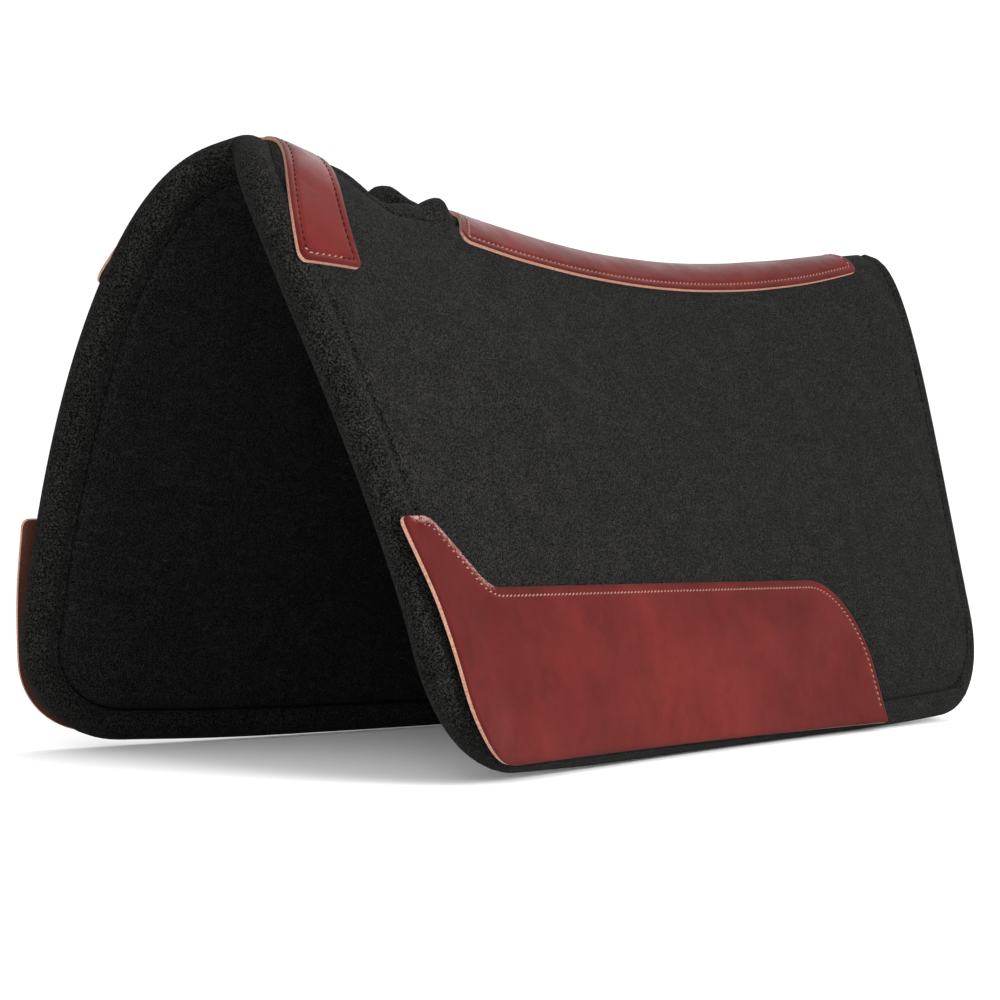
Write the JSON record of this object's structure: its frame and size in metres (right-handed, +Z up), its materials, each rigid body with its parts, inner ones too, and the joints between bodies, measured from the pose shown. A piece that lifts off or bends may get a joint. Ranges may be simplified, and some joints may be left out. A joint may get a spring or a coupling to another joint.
{
  "type": "saddle pad",
  "caption": "Contoured western saddle pad of thick felt with a wither slot, rolled edges and leather trim, folded over its spine.",
  "frame": {"origin": "centre of the bounding box's bottom face, on the plane of the two flaps' lower edges", "axes": "+Z up, Y along the spine with the wither end at -Y, +X towards the horse's left flap"},
  "size_m": [0.41, 0.8216, 0.4004],
  "materials": {
    "outer_felt": "napped charcoal wool felt with pale flecks",
    "core_felt": "plain pressed felt, hidden",
    "inner_felt": "near-black napped wool felt",
    "leather": "smooth reddish-brown leather with pale cut edges",
    "light_thread": "waxed pale thread",
    "dark_thread": "waxed dark thread",
    "felt_thread": "black thread sunk in felt"
  },
  "bodies": {
    "right_side": {"right_felt_cover": "outer_felt", "right_felt_core": "core_felt", "right_felt_liner": "inner_felt", "right_wear_leather": "leather", "right_wither_leather": "leather", "right_spine_leather": "leather", "right_wear_thread": "light_thread", "right_wither_thread": "dark_thread", "right_spine_thread": "light_thread", "right_edge_thread": "felt_thread", "right_slot_thread": "felt_thread"},
    "left_side": {"left_felt_cover": "outer_felt", "left_felt_core": "core_felt", "left_felt_liner": "inner_felt", "left_wear_leather": "leather", "left_wither_leather": "leather", "left_spine_leather": "leather", "left_wear_thread": "light_thread", "left_wither_thread": "dark_thread", "left_spine_thread": "light_thread", "left_edge_thread": "felt_thread", "left_slot_thread": "felt_thread"}
  },
  "joints": [
    {"name": "spine_fold", "type": "hinge", "parent": "right_side", "child": "left_side", "pos_m": [0, 0, 0.368], "axis": [0, -1, 0], "range_deg": [-28, 40]}
  ]
}
